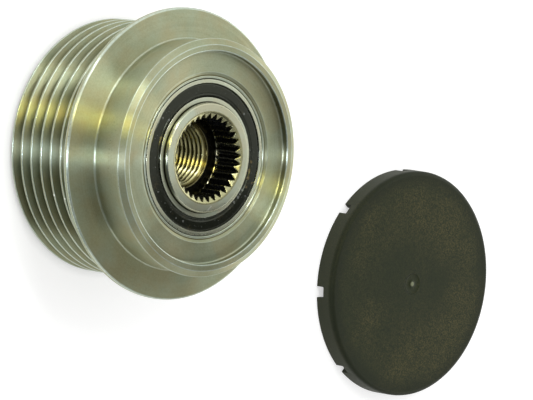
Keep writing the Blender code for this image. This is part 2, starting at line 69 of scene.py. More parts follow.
# Sizes in millimetres, as in the part's source. Heights of the ring count from its rear face.
GROOVES = 6
PITCH = 3.56
GROOVE_DEPTH = 2.9
CREST_WIDTH = 0.55
GROOVE_FLANK = math.radians(20)
RIB_R = 31.1
REAR_LAND = 0.5
FLANGE_LAND = 2.6
FLANGE_R = 35.1
FLANGE_THICKNESS = 1.4
FLANGE_RISE = 1.1
NECK_R = 27.7
NECK_HEIGHT = 8.2
LIP_R = 28.4
LIP_STEP = 0.35
LIP_LAND = 0.5
LIP_CHAMFER_R = 1.5
LIP_CHAMFER_Z = 0.8
RECESS_R = 25.4
RECESS_DEPTH = 1.6
MOUTH_CHAMFER = 0.9
MOUTH_LEDGE = 0.7
MOUTH_DEPTH = 0.35
FIT_GAP = 0.3
SEAT_LINE = 0.1
BEARING_R = 18.62
BEARING_BORE_R = 12.5
BEARING_WIDTH = 7.0
INNER_LAND_R = 14.35
OUTER_LAND_R = 16.65
BALL_CIRCLE_R = 15.5
TRACK_R = 1.95
SEAL_SEAT_R = 17.75
SEAL_SEAT_DEPTH = 1.3
REAR_BEARING_Z = 1.2
FRONT_BEARING_SINK = 0.25
CLUTCH_BORE_R = 16.35
HUB_SEAT_R = 12.2
HUB_SHOULDER_R = 13.2
HUB_SHOULDER_Z = 1.0
HUB_CHAMFER = 0.35
HUB_PROUD_REAR = 1.0
HUB_PROUD_FRONT = 1.15
SPLINE_TEETH = 33
SPLINE_TIP_R = 9.45
SPLINE_ROOT_R = 10.6
SPLINE_LENGTH = 7.8
SPLINE_LEAD_R = 10.75
SPLINE_LEAD_Z = 0.75
SPLINE_TOP_SHARE = 0.14
SPLINE_TAIL = 0.45
UNDERCUT_R = 10.9
UNDERCUT_WIDTH = 1.2
THREAD_MAJOR_R = 8.0
THREAD_PITCH = 1.5
THREAD_DEPTH_SHARE = 0.5413
THREAD_MOUTH_R = 8.1
PILOT_R = 8.5
PILOT_DEPTH = 9.5
PILOT_CHAMFER = 0.6
CAP_R = 30.55
CAP_INNER_R = 28.85
CAP_HEIGHT = 5.9
CAP_SKIRT = 4.4
CAP_EDGE = 1.0
CAP_DRAFT = 0.1
CAP_NOTCHES = 8
CAP_NOTCH_TURN = math.radians(22.5)
CAP_NOTCH_WIDTH = 3.0
CAP_NOTCH_HEIGHT = 2.5
CAP_NOTCH_ROUND = 0.25
CAP_NOTCH_EDGE = 0.12

# Heights that follow
RIBS_END = REAR_LAND + GROOVES * PITCH - CREST_WIDTH
FLANGE_BACK = RIBS_END + FLANGE_LAND
FLANGE_FRONT = FLANGE_BACK + FLANGE_THICKNESS
COLLAR_BASE = FLANGE_FRONT + FLANGE_RISE
LIP_BASE = COLLAR_BASE + NECK_HEIGHT
LIP_TOP = LIP_BASE + LIP_STEP + LIP_LAND + LIP_CHAMFER_Z
RECESS_Z = LIP_TOP - RECESS_DEPTH
SEAT_R = BEARING_R + SEAT_LINE
CLUTCH_BOTTOM = REAR_BEARING_Z + BEARING_WIDTH + FIT_GAP
FRONT_BEARING_Z = RECESS_Z - FRONT_BEARING_SINK
CLUTCH_TOP = FRONT_BEARING_Z - BEARING_WIDTH - FIT_GAP
HUB_TOP = HUB_PROUD_REAR + FRONT_BEARING_Z + HUB_PROUD_FRONT
THREAD_MINOR_R = THREAD_MAJOR_R - THREAD_DEPTH_SHARE * THREAD_PITCH

# How finely shapes are divided, and how close points merge, in millimetres
RING_SIDES = 256
RACE_SIDES = 192
CAP_SIDES = 240
TRACK_STEPS = 8
ARC_STEP = math.radians(24)
LEAD_STEPS = 12
SPLINE_ROWS = 4
SPLINE_ROW = 1.4
TAIL_STEPS = 4
THREAD_STEPS = 12
MERGE_DISTANCE = 0.0002

# Edges steeper than this stay sharp, or get the small edge round a notch
HUB_SHARP = math.radians(38)
CAP_SHARP = math.radians(35)
NOTCH_SHARP = math.radians(50)

# Where the rows of points round a tooth space lie, as shares of a tooth's turn from its middle
HALF_SPLINE_STEPS = (0.03, 0.07, 0.13, 0.25, 0.37, 0.43, 0.47)
SPLINE_STEPS = tuple(-s for s in reversed(HALF_SPLINE_STEPS)) + HALF_SPLINE_STEPS

# The two tints that plating and bare steel drift between
WARMER = rgb(1.0, 0.93, 0.84)
COOLER = rgb(0.96, 1.0, 1.0)

# Steels: tints of their lighter and darker places and of edges, worn and partly painted highlight,
# roughness, anisotropy, how strong the grain is, and how much rougher level faces are than steep
# ones
Metal = namedtuple("Metal", "light dark worn roughness anisotropy grain level")
PLATED = Metal(rgb(0.40, 0.42, 0.295), rgb(0.27, 0.285, 0.17), rgb(0.60, 0.70, 0.64),
               0.33, 0.98, 0.55, 0.07)
HUB_STEEL = Metal(rgb(0.49, 0.52, 0.41), rgb(0.38, 0.40, 0.29), rgb(0.70, 0.68, 0.48),
                  0.26, 0.6, 0.3, 0.04)
RACE_STEEL = Metal(rgb(0.50, 0.53, 0.41), rgb(0.40, 0.42, 0.32), rgb(0.50, 0.52, 0.41),
                   0.27, 0.4, 0.25, 0.05)
INNER_STEEL = Metal(rgb(0.62, 0.63, 0.60), rgb(0.45, 0.45, 0.43), rgb(0.8, 0.8, 0.78),
                    0.2, 0.0, 0.3, 0.0)
CUP_STEEL = Metal(rgb(0.44, 0.44, 0.42), rgb(0.30, 0.30, 0.28), rgb(0.6, 0.6, 0.58),
                  0.32, 0.3, 0.4, 0.0)
SPRING_STEEL = Metal(rgb(0.46, 0.43, 0.35), rgb(0.33, 0.30, 0.24), rgb(0.6, 0.58, 0.5),
                     0.3, 0.0, 0.4, 0.0)

# Tints on the steels, many of them painted shade or painted light. Pairs are the darker and the
# lighter end of a blend.
ROOT_SHADE = rgb(0.10, 0.11, 0.05)
LAND_PAINTED_LIGHT = rgb(0.58, 0.60, 0.43)
WALL_SHADE = rgb(0.12, 0.11, 0.06)
MOUTH_FOOT_DARK = rgb(0.16, 0.15, 0.07)
SEAT_GAP_SHADE = rgb(0.03, 0.028, 0.018)
RACE_GAP_SHADE = rgb(0.035, 0.03, 0.02)
HUB_SIDE_SHADE = rgb(0.08, 0.075, 0.05)
HUB_EDGE_SHADE = rgb(0.14, 0.14, 0.10)
TOOTH_SIDE_SHADE = (rgb(0.045, 0.047, 0.050), rgb(0.085, 0.087, 0.090))
TOOTH_TIP_SHADE_AND_SHEEN = rgb(0.13, 0.135, 0.14)
TOOTH_END = (rgb(0.27, 0.265, 0.14), rgb(0.38, 0.37, 0.21))
UNDERCUT_SHADE_AND_LIGHT = (rgb(0.02, 0.019, 0.013), rgb(0.80, 0.75, 0.45))
THREAD_SHADE_AND_SHEEN = (rgb(0.10, 0.085, 0.03), rgb(0.58, 0.55, 0.28))

# Rubber and plastics
RUBBER = (rgb(0.003, 0.0035, 0.002), rgb(0.009, 0.010, 0.006))
SMEAR = rgb(0.11, 0.085, 0.04)
SPECK = rgb(0.14, 0.15, 0.14)
CAP_BASE = (rgb(0.005, 0.008, 0.004), rgb(0.017, 0.022, 0.009))
OCHRE = rgb(0.068, 0.058, 0.022)
CAP_RIM = rgb(0.006, 0.008, 0.004)
CAP_WORN = rgb(0.075, 0.078, 0.07)
CAP_SIDE = rgb(0.075, 0.078, 0.060)
CAP_NUB = rgb(0.17, 0.18, 0.11)
POLYAMIDE = (rgb(0.07, 0.08, 0.06), rgb(0.13, 0.14, 0.11))

# Marks at the photograph's own pixels, with their size in millimetres and their tint: nicks and a
# speck on the ribs, a scratch on the hub from end to end, and grease and stains on the front seal
NICK = rgb(0.85, 0.88, 0.80)
RIB_MARKS = (
    ((54, 195), 0.35, NICK),
    ((65, 199), 0.3, NICK),
    ((68, 239), 0.5, rgb(0.012, 0.012, 0.009)),
)
SCRATCH = ((208, 210), (211, 206.5))
SCRATCH_WIDTH = 0.16
SCRATCH_TINT = rgb(0.95, 0.95, 0.9)
BROWN = rgb(0.085, 0.062, 0.028)
GREY = rgb(0.12, 0.125, 0.12)
SEAL_MARKS = (
    ((161, 138), 0.5, BROWN), ((160, 142), 0.35, BROWN), ((249, 171), 0.5, BROWN),
    ((251, 162), 0.4, BROWN), ((248, 178), 0.5, BROWN), ((252, 183), 0.3, BROWN),
    ((246, 187), 0.35, BROWN), ((244, 114), 0.3, GREY), ((163, 118), 0.25, GREY),
    ((169, 120), 0.35, GREY), ((176, 218), 0.2, GREY), ((183, 221), 0.25, GREY),
    ((238, 197), 0.4, GREY), ((234, 202), 0.35, GREY), ((242, 190), 0.35, GREY),
    ((240, 194), 0.25, GREY), ((158, 192), 0.2, GREY), ((193, 106), 0.25, GREY),
    ((256, 176), 0.2, GREY), ((245, 196), 0.2, GREY),
)

# Surroundings, in metres. A lamp has its turn and lift in degrees and its distance, its width and
# height, its power, its colour, and whether it lights matt surfaces too.
WHITE = rgb(1, 1, 1)
SOFT_WORLD = 0.8
FLOOR_R = 3.0
FLOOR_DROP = 0.00005
FLOOR_GREY = rgb(0.62, 0.62, 0.62)
FLOOR_GLOW = 0.55
AIM_Z = 0.02
LAMPS = (
    ("soft_lamp", (-24, 38, 0.9), (1.5, 0.6), 1.8, (0.97, 1.0, 0.97), True),
    ("key_lamp", (28, 48, 0.9), (0.09, 0.7), 2.7, (0.97, 1.0, 0.97), True),
    ("warm_lamp", (61, 48, 0.9), (0.07, 0.7), 2.2, (1.0, 0.86, 0.27), False),
    ("cool_lamp", (96, 26, 0.9), (0.12, 0.25), 3.0, (0.78, 0.84, 1.0), False),
    ("rim_lamp", (267, 16, 1.0), (1.1, 0.6), 3.8, (1.0, 1.0, 1.0), False),
)


def middle(node):
    low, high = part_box(node)
    return (low + high) / 2


def foot_of(node):
    """The middle of a node's underside."""
    centre = middle(node)
    return Vector((centre.x, centre.y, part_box(node)[0].z))


RING_PLACE = foot_of("pulley_ring")
HUB_PLACE = Vector((RING_PLACE.x, RING_PLACE.y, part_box("hub")[0].z))
CAP_PLACE = foot_of("protective_cap")


def add_object(name, data):
    thing = bpy.data.objects.new(name, data)
    bpy.context.scene.collection.objects.link(thing)
    return thing


# The camera, and places taken from the photograph by pixel


def view_axes():
    """The world's axes as the camera sees them."""
    up = AXIS_IN_VIEW.normalized()
    away = UPWARDS_IN_VIEW - up * UPWARDS_IN_VIEW.dot(up)
    away.normalize()
    across = away.cross(up)
    along = across * math.cos(CAP_TURN) - away * math.sin(CAP_TURN)
    return along, up.cross(along), up


def camera_matrix():
    rows = view_axes()
    right, upward, towards = (Vector((rows[0][i], rows[1][i], rows[2][i])) for i in range(3))
    offset = right * RING_IN_VIEW.x + upward * RING_IN_VIEW.y + towards * RING_IN_VIEW.z
    place = RING_PLACE - offset * MM
    matrix = Matrix((right, upward, towards)).transposed().to_4x4()
    matrix.translation = place
    return matrix


CAMERA = camera_matrix()


def make_camera():
    data = bpy.data.cameras.new("camera")
    data.sensor_fit = "HORIZONTAL"
    data.sensor_width = SENSOR
    data.lens = LENS_PIXELS * SENSOR / PHOTO_WIDTH
    data.clip_start = 0.05
    data.clip_end = 20.0
    camera = add_object("camera", data)
    camera.matrix_world = CAMERA
    bpy.context.scene.camera = camera


def sight(pixel):
    """The world direction of the line of sight through a pixel of the photograph."""
    x = (pixel[0] - PHOTO_WIDTH / 2) / LENS_PIXELS
    y = (PHOTO_HEIGHT / 2 - pixel[1]) / LENS_PIXELS
    return CAMERA.to_3x3() @ Vector((x, y, -1.0))


def on_level(pixel, height):
    """Where a pixel's line of sight meets a level plane, in the ring's own millimetres."""
    direction = sight(pixel)
    start = CAMERA.translation
    reach = (RING_PLACE.z + height * MM - start.z) / direction.z
    return (start + direction * reach - RING_PLACE) / MM


def on_wall(pixel, radius):
    """Where its line of sight first meets an upright cylinder round the pulley's axis."""
    direction = sight(pixel)
    start = CAMERA.translation - RING_PLACE
    a = direction.x ** 2 + direction.y ** 2
    b = 2 * (start.x * direction.x + start.y * direction.y)
    c = start.x ** 2 + start.y ** 2 - (radius * MM) ** 2
    reach = (-b - math.sqrt(max(b * b - 4 * a * c, 0.0))) / (2 * a)
    return (start + direction * reach) / MM


def image_direction(turn):
    """A level world direction. Turn 0 runs up the image, and it grows to the left."""
    angle = math.radians(turn)
    e1 = Vector((-math.sin(CAP_TURN), math.cos(CAP_TURN), 0.0))
    e2 = Vector((math.cos(CAP_TURN), math.sin(CAP_TURN), 0.0))
    return e1 * math.cos(angle) - e2 * math.sin(angle)


# Shapes


def rounded(corners, support=0.22):
    """A closed outline with each corner (radius, height, round, wear) rounded off."""
    points = []
    count = len(corners)
    for index, (r, z, radius, wear) in enumerate(corners):
        here = Vector((r, z))
        before = Vector(corners[index - 1][:2]) - here
        after = Vector(corners[(index + 1) % count][:2]) - here
        if radius <= 0:
            points.append((r, z, wear))
            continue
        a = before.normalized()
        b = after.normalized()
        half = math.acos(max(-1.0, min(1.0, a.dot(b)))) / 2
        reach = min(radius / math.tan(half), 0.48 * before.length, 0.48 * after.length)
        radius = reach * math.tan(half)
        centre = here + (a + b).normalized() * radius / math.sin(half)
        first = here + a * reach
        last = here + b * reach
        start = math.atan2(first.y - centre.y, first.x - centre.x)
        turn = math.atan2(last.y - centre.y, last.x - centre.x) - start
        turn = (turn + math.pi) % math.tau - math.pi
        steps = max(2, math.ceil(abs(turn) / ARC_STEP))
        if before.length > 2.5 * (reach + support):
            points.append((*(here + a * (reach + support)), 0.0))
        for step in range(steps + 1):
            angle = start + turn * step / steps
            edge = centre + Vector((math.cos(angle), math.sin(angle))) * radius
            points.append((edge.x, edge.y, wear))
        if after.length > 2.5 * (reach + support):
            points.append((*(here + b * (reach + support)), 0.0))
    return points


def finish_mesh(name, verts, faces, wear, place):
    """A mesh object with its corner wear kept as an attribute, facing outwards."""
    mesh = bpy.data.meshes.new(name)
    mesh.from_pydata(verts, [], faces)
    attribute = mesh.attributes.new("wear", "FLOAT", "POINT")
    attribute.data.foreach_set("value", wear)
    shape = bmesh.new()
    shape.from_mesh(mesh)
    bmesh.ops.remove_doubles(shape, verts=shape.verts[:], dist=MERGE_DISTANCE * MM)
    bmesh.ops.recalc_face_normals(shape, faces=shape.faces[:])
    if shape.calc_volume(signed=True) < 0:
        bmesh.ops.reverse_faces(shape, faces=shape.faces[:])
    shape.to_mesh(mesh)
    shape.free()
    mesh.shade_smooth()
    thing = add_object(name, mesh)
    thing.location = place
    return thing


def turned(name, outline, sides, place):
    """A solid of revolution about its own Z from a closed outline in millimetres."""
    verts = []
    wear = []
    for side in range(sides):
        angle = math.tau * side / sides
        c = math.cos(angle) * MM
        s = math.sin(angle) * MM
        for r, z, amount in outline:
            verts.append((r * c, r * s, z * MM))
            wear.append(amount)
    count = len(outline)
    faces = []
    for side in range(sides):
        a = side * count
        b = (side + 1) % sides * count
        for k in range(count):
            n = (k + 1) % count
            if outline[k][0] == 0 and outline[n][0] == 0:
                continue
            if outline[k][0] == 0:
                faces.append((a + k, b + n, a + n))
            elif outline[n][0] == 0:
                faces.append((a + k, b + k, a + n))
            else:
                faces.append((a + k, b + k, b + n, a + n))
    return finish_mesh(name, verts, faces, wear, place)


def ring_outline():
    """The pulley body from its first rib forwards, over flange and collar, and down the bore."""
    flank = GROOVE_DEPTH * math.tan(GROOVE_FLANK)
    width = PITCH - CREST_WIDTH
    points = [(RIB_R, 0.0, 0.15, 0.8)]
    for groove in range(GROOVES):
        start = REAR_LAND + groove * PITCH
        points.append((RIB_R, start, 0.1, 1.0))
        points.append((RIB_R - GROOVE_DEPTH, start + flank, 0.18, 0.0))
        points.append((RIB_R - GROOVE_DEPTH, start + width - flank, 0.18, 0.0))
        points.append((RIB_R, start + width, 0.1, 1.0))
    points += [
        (RIB_R, FLANGE_BACK, 0.5, 0.0),
        (FLANGE_R, FLANGE_BACK, 0.4, 0.6),
        (FLANGE_R, FLANGE_FRONT, 0.45, 0.7),
        (NECK_R, COLLAR_BASE + 0.08, 0.4, 0.3),
        (NECK_R, LIP_BASE, 0.18, 0.0),
        (LIP_R, LIP_BASE + LIP_STEP, 0.1, 0.3),
        (LIP_R, LIP_BASE + LIP_STEP + LIP_LAND, 0.12, 0.6),
        (LIP_R - LIP_CHAMFER_R, LIP_TOP, 0.3, 0.7),
        (RECESS_R, LIP_TOP, 0.25, 0.8),
        (RECESS_R, RECESS_Z, 0.4, 0.2),
        (SEAT_R + MOUTH_LEDGE + MOUTH_CHAMFER, RECESS_Z, 0.1, 0.5),
        (SEAT_R + MOUTH_LEDGE + 0.1, RECESS_Z - MOUTH_DEPTH - 0.06, 0.06, 0.0),
        (SEAT_R + MOUTH_LEDGE - 0.1, RECESS_Z - MOUTH_DEPTH + 0.1, 0.07, 1.0),
        (SEAT_R + 0.25, RECESS_Z - MOUTH_DEPTH + 0.1, 0.1, 1.0),
        (SEAT_R, RECESS_Z - MOUTH_DEPTH - 0.2, 0.08, 0.0),
        (SEAT_R, CLUTCH_TOP, 0.1, 0.0),
        (CLUTCH_BORE_R, CLUTCH_TOP, 0.1, 0.0),
        (CLUTCH_BORE_R, CLUTCH_BOTTOM, 0.1, 0.0),
        (SEAT_R, CLUTCH_BOTTOM, 0.1, 0.0),
        (SEAT_R, 0.5, 0.08, 0.2),
        (SEAT_R + 0.5, 0.0, 0.08, 0.5),
    ]
    return rounded(points, 0.07)


def track(land_r, side):
    """The ball track's arc across a race's land, from the sealed face inwards."""
    half = math.acos(abs(land_r - BALL_CIRCLE_R) / TRACK_R)
    points = []
    for step in range(TRACK_STEPS + 1):
        angle = half - 2 * half * step / TRACK_STEPS
        r = BALL_CIRCLE_R + side * TRACK_R * math.cos(angle)
        points.append((r, BEARING_WIDTH / 2 - TRACK_R * math.sin(angle), 0.0, 0.0))
    return points


def outer_race_outline():
    return [
        (SEAL_SEAT_R, 0.0, 0.05, 0.6),
        (BEARING_R, 0.0, 0.1, 0.6),
        (BEARING_R, BEARING_WIDTH, 0.3, 0.6),
        (OUTER_LAND_R, BEARING_WIDTH, 0.1, 0.3),
        *reversed(track(OUTER_LAND_R, 1)),
        (OUTER_LAND_R, SEAL_SEAT_DEPTH, 0.1, 0.0),
        (SEAL_SEAT_R, SEAL_SEAT_DEPTH, 0.1, 0.0),
    ]


def inner_race_outline():
    return [
        (BEARING_BORE_R, 0.0, 0.3, 0.6),
        (INNER_LAND_R, 0.0, 0.08, 0.7),
        *track(INNER_LAND_R, -1),
        (INNER_LAND_R, BEARING_WIDTH, 0.1, 0.3),
        (BEARING_BORE_R, BEARING_WIDTH, 0.3, 0.6),
    ]


def seal_outline():
    """A moulded washer: a flat outer band, a shallow groove and a slightly raised lip."""
    outer_r = SEAL_SEAT_R - 0.15
    lip_r = INNER_LAND_R + 0.2
    waist = (outer_r + lip_r) / 2
    return [
        (lip_r, 0.2, 0.15, 0.4),
        (lip_r + 0.45, 0.14, 0.1, 0.3),
        (lip_r + 0.65, 0.3, 0.1, 0.0),
        (lip_r + 0.85, 0.14, 0.1, 0.0),
        (outer_r - 0.3, 0.12, 0.15, 0.2),
        (outer_r, 0.3, 0.12, 0.2),
        (outer_r, 0.99, 0.1, 0.0),
        (waist, 0.99, 0.1, 0.0),
        (waist, 0.75, 0.1, 0.0),
        (lip_r, 0.75, 0.1, 0.0),
    ]


def placed_outline(outline, direction):
    """Heights from a sealed face into the bearing become heights along the pulley's axis."""
    return [(r, -direction * z, wear) for r, z, wear in rounded(outline, 0.12)]


def build_bearing(place, face, direction, steel, rubber):
    spot = Vector((RING_PLACE.x, RING_PLACE.y, RING_PLACE.z + face * MM))
    pieces = (
        ("outer_race", outer_race_outline(), steel, "pulley_side", "bearing_steel"),
        ("inner_race", inner_race_outline(), steel, "hub_side", "bearing_steel"),
        ("seal", seal_outline(), rubber, "pulley_side", "seal_rubber"),
    )
    for piece, outline, look, body, slot in pieces:
        faced = placed_outline(outline, direction)
        thing = turned(f"{place}_{piece}_fine", faced, RACE_SIDES, spot)
        thing.data.materials.append(look)
        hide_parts(f"{place}_{piece}")
        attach(thing, body)


def spline_radius(share, height):
    """The hub's inner radius in the key spline, by share of a tooth space and height."""
    s = (0.5 - SPLINE_TOP_SHARE / 2 - abs(share)) / (0.5 - SPLINE_TOP_SHARE)
    tooth = SPLINE_TIP_R + (SPLINE_ROOT_R - SPLINE_TIP_R) * max(0.0, min(1.0, s))
    depth = HUB_TOP - height
    lead = SPLINE_LEAD_R - depth * (SPLINE_LEAD_R - SPLINE_TIP_R) / SPLINE_LEAD_Z
    tail = SPLINE_TIP_R + SPLINE_TAIL - (height - (HUB_TOP - SPLINE_LENGTH))
    return max(tooth, lead, tail)


def thread_radius(angle, height):
    """The inner radius along the shaft's thread, with its mouth and the pilot's cone."""
    phase = (height / THREAD_PITCH - angle / math.tau) % 1.0
    slope = abs(phase - 0.5) * 2
    form = max(0.0, min(1.0, (slope - 0.22) / 0.68))
    thread = THREAD_MINOR_R + (THREAD_MAJOR_R - THREAD_MINOR_R) * form
    floor = HUB_TOP - SPLINE_LENGTH - UNDERCUT_WIDTH
    mouth = THREAD_MOUTH_R - (floor - height)
    pilot = PILOT_R - (height - PILOT_DEPTH)
    return max(thread, mouth, pilot)


def hub_rings():
    """Rings of (radius, height, wear) from outside to inside. A word is a form, not a radius."""
    rings = rounded(
        [
            (HUB_SEAT_R - 1.0, 0.0, 0.0, 0.0),
            (HUB_SEAT_R, 0.0, 0.35, 0.8),
            (HUB_SEAT_R, HUB_TOP - HUB_SHOULDER_Z, 0.1, 0.0),
            (HUB_SHOULDER_R, HUB_TOP - HUB_SHOULDER_Z, 0.15, 0.5),
            (HUB_SHOULDER_R, HUB_TOP - HUB_CHAMFER, 0.1, 0.1),
            (HUB_SHOULDER_R - HUB_CHAMFER, HUB_TOP, 0.1, 0.3),
            (SPLINE_LEAD_R + 0.5, HUB_TOP, 0.0, 0.0),
        ]
    )
    rings += [(SPLINE_LEAD_R + 0.12, HUB_TOP, 0.0), (SPLINE_LEAD_R, HUB_TOP - 0.03, 1.0)]
    end = HUB_TOP - SPLINE_LENGTH
    for step in range(1, LEAD_STEPS + 1):
        rings.append(("spline", HUB_TOP - SPLINE_LEAD_Z * step / LEAD_STEPS - 0.03, 0.5))
    for step in range(1, SPLINE_ROWS + 1):
        rings.append(("spline", HUB_TOP - SPLINE_LEAD_Z - SPLINE_ROW * step, 0.0))
    for step in range(TAIL_STEPS + 1):
        rings.append(("spline", end + SPLINE_TAIL - SPLINE_TAIL * step / TAIL_STEPS, 0.4))
    floor = end - UNDERCUT_WIDTH
    rings += [(UNDERCUT_R, end - 0.02, 0.3), (UNDERCUT_R, end - 0.2, 0.0)]
    rings += [(UNDERCUT_R, floor + 0.15, 0.0)]
    rings += [(UNDERCUT_R - 0.15, floor, 0.0), (THREAD_MOUTH_R + 0.1, floor, 0.2)]
    steps = math.ceil((floor - PILOT_DEPTH) / (THREAD_PITCH / THREAD_STEPS))
    for step in range(steps + 1):
        rings.append(("thread", floor - 0.04 - (floor - 0.04 - PILOT_DEPTH) * step / steps, 0.0))
    rings += [(PILOT_R, PILOT_DEPTH - 0.2, 0.0), (PILOT_R, PILOT_CHAMFER + 0.2, 0.0)]
    rings += [(PILOT_R, PILOT_CHAMFER, 0.4), (PILOT_R + PILOT_CHAMFER, 0.0, 0.6)]
    return rings


def build_hub(look):
    """The hub with its key spline and the real thread, one ring of points after another."""
    shares = [(tooth, share) for tooth in range(SPLINE_TEETH) for share in SPLINE_STEPS]
    rings = hub_rings()
    verts = []
    wear = []
    for radius, height, amount in rings:
        for tooth, share in shares:
            angle = (tooth + share) * math.tau / SPLINE_TEETH
            r = radius
            if radius == "spline":
                r = spline_radius(share, height)
            elif radius == "thread":
                r = thread_radius(angle, height)
            verts.append((r * math.cos(angle) * MM, r * math.sin(angle) * MM, height * MM))
            wear.append(amount)
    count = len(shares)
    faces = []
    for ring in range(len(rings)):
        a = ring * count
        b = (ring + 1) % len(rings) * count
        for k in range(count):
            n = (k + 1) % count
            faces.append((a + k, a + n, b + n, b + k))
    hub = finish_mesh("hub_fine", verts, faces, wear, HUB_PLACE)
    hub.data.set_sharp_from_angle(angle=HUB_SHARP)
    hub.data.materials.append(look)
    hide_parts("hub")
    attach(hub, "hub_side")


def build_ring(look):
    ring = turned("pulley_ring_fine", ring_outline(), RING_SIDES, RING_PLACE)
    ring.data.materials.append(look)
    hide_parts("pulley_ring")
    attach(ring, "pulley_side")


def cap_outline():
    """From the gate mark in the middle of the face, over the soft edge, down and back inside."""
    top = CAP_HEIGHT
    bead = CAP_SKIRT - 1.95
    body = rounded(
        [
            (2.9, top, 0.15, 0.2),
            (CAP_R - CAP_DRAFT, top, CAP_EDGE, 0.35),
            (CAP_R, 0.0, 0.25, 0.5),
            (CAP_INNER_R + 0.3, 0.0, 0.15, 0.3),
            (CAP_INNER_R, 0.4, 0.15, 0.0),
            (CAP_INNER_R, bead - 1.1, 0.1, 0.0),
            (CAP_INNER_R - 0.7, bead - 0.55, 0.25, 0.0),
            (CAP_INNER_R, bead, 0.1, 0.0),
            (CAP_INNER_R, CAP_SKIRT, 0.4, 0.0),
            (1.0, CAP_SKIRT, 0.0, 0.0),
        ]
    )
    dish = [(0.0, top + 0.1, 0.3), (0.35, top + 0.12, 0.6), (0.62, top + 0.06, 0.3)]
    dish += [(0.85, top - 0.1, 0.0), (1.5, top - 0.13, 0.0), (2.1, top - 0.12, 0.0)]
    dish += [(2.5, top - 0.09, 0.0), (2.7, top - 0.03, 0.1)]
    return dish + body + [(0.0, CAP_SKIRT, 0.0)]


def build_cap(look):
    """The cap, with rounded notches cut round its rim."""
    cap = turned("protective_cap_fine", cap_outline(), CAP_SIDES, CAP_PLACE)
    shape = bmesh.new()
    half = CAP_NOTCH_WIDTH / 2 * MM
    for notch in range(CAP_NOTCHES):
        made = bmesh.ops.create_cube(shape, size=1.0)["verts"]
        length = (CAP_R - CAP_INNER_R + 5) * MM
        bmesh.ops.scale(shape, verts=made, vec=(length, 2 * half, 2 * CAP_NOTCH_HEIGHT * MM))
        bmesh.ops.translate(shape, verts=made, vec=((CAP_R + CAP_INNER_R) / 2 * MM, 0.0, 0.0))
        turn = CAP_NOTCH_TURN + notch * math.tau / CAP_NOTCHES
        bmesh.ops.rotate(shape, verts=made, cent=(0, 0, 0), matrix=Matrix.Rotation(turn, 3, "Z"))
    reach = 1.6 * CAP_NOTCH_HEIGHT * MM
    level = [e for e in shape.edges if abs(e.verts[0].co.z + e.verts[1].co.z) > reach]
    round_off = CAP_NOTCH_ROUND * MM
    bmesh.ops.bevel(shape, geom=level, offset=round_off, segments=3, affect="EDGES", profile=0.5)
    mesh = bpy.data.meshes.new("notches")
    shape.to_mesh(mesh)
    shape.free()
    tool = add_object("notches", mesh)
    tool.location = CAP_PLACE
    boolean = cap.modifiers.new("notches", "BOOLEAN")
    boolean.operation = "DIFFERENCE"
    boolean.solver = "EXACT"
    boolean.object = tool
    bevel = cap.modifiers.new("edges", "BEVEL")
    bevel.width = CAP_NOTCH_EDGE * MM
    bevel.segments = 2
    bevel.limit_method = "ANGLE"
    bevel.angle_limit = NOTCH_SHARP
    bpy.context.view_layer.update()
    shown = cap.evaluated_get(bpy.context.evaluated_depsgraph_get())
    final = bpy.data.meshes.new_from_object(shown)
    cap.modifiers.clear()
    cap.data = final
    bpy.data.objects.remove(tool, do_unlink=True)
    final.shade_smooth()
    final.set_sharp_from_angle(angle=CAP_SHARP)
    final.materials.clear()
    final.materials.append(look)
    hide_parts("protective_cap")
    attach(cap, "hub_side")


# Materials


Spot = namedtuple("Spot", "place radius height angle")


def put(tree, kind, values, **settings):
    """A shader node with its settings and with its inputs set or linked."""
    node = tree.nodes.new(kind)
    for key, value in settings.items():
        setattr(node, key, value)
    for key, value in values.items():
        if isinstance(value, bpy.types.NodeSocket):
            tree.links.new(value, node.inputs[key])
        else:
            node.inputs[key].default_value = value
    return node


def calc(tree, operation, a, b=0.0, clamp=False):
    values = {0: a, 1: b}
    return put(tree, "ShaderNodeMath", values, operation=operation, use_clamp=clamp).outputs[0]


def plus(tree, a, b, clamp=False):
    return calc(tree, "ADD", a, b, clamp)


def minus(tree, a, b):
    return calc(tree, "SUBTRACT", a, b)


def times(tree, a, b):
    return calc(tree, "MULTIPLY", a, b)


def apart(tree, a, b):
    """How far a value is from another, either way."""
    return calc(tree, "ABSOLUTE", minus(tree, a, b))


def fit(tree, value, low, high, to_low=0.0, to_high=1.0):
    """A value's place between low and high, clamped, spread from to_low to to_high."""
    values = {"Value": value, "From Min": low, "From Max": high}
    values.update({"To Min": to_low, "To Max": to_high})
    return put(tree, "ShaderNodeMapRange", values, clamp=True).outputs[0]


def grainy(tree, value, to_low=0.0, to_high=1.0):
    """The middle part of a noise's values, spread over a range."""
    return fit(tree, value, 0.3, 0.7, to_low, to_high)


def blend_colour(tree, share, a, b, mode="MIX"):
    values = {0: share, 6: a, 7: b}
    return put(tree, "ShaderNodeMix", values, data_type="RGBA", blend_type=mode).outputs[2]


def paint(tree, colour, share, tint, strength=1.0):
    """The colour with a tint laid over it where the share says."""
    if strength < 1.0:
        share = times(tree, share, strength)
    return blend_colour(tree, share, colour, tint)


def noise(tree, vector, scale, detail=3.0, rough=0.6, warp=0.0):
    values = {"Vector": vector, "Scale": scale, "Detail": detail, "Roughness": rough}
    values["Distortion"] = warp
    return put(tree, "ShaderNodeTexNoise", values).outputs["Fac"]


def distance(tree, a, b):
    """How far one point is from another."""
    return put(tree, "ShaderNodeVectorMath", {0: a, 1: b}, operation="DISTANCE").outputs["Value"]


def steel_grain(tree, place):
    return noise(tree, place, 2.2, 4.0, 0.75)


def corner_wear(tree):
    """The wear that the mesh keeps for its corners."""
    return put(tree, "ShaderNodeAttribute", {}, attribute_name="wear").outputs["Fac"]


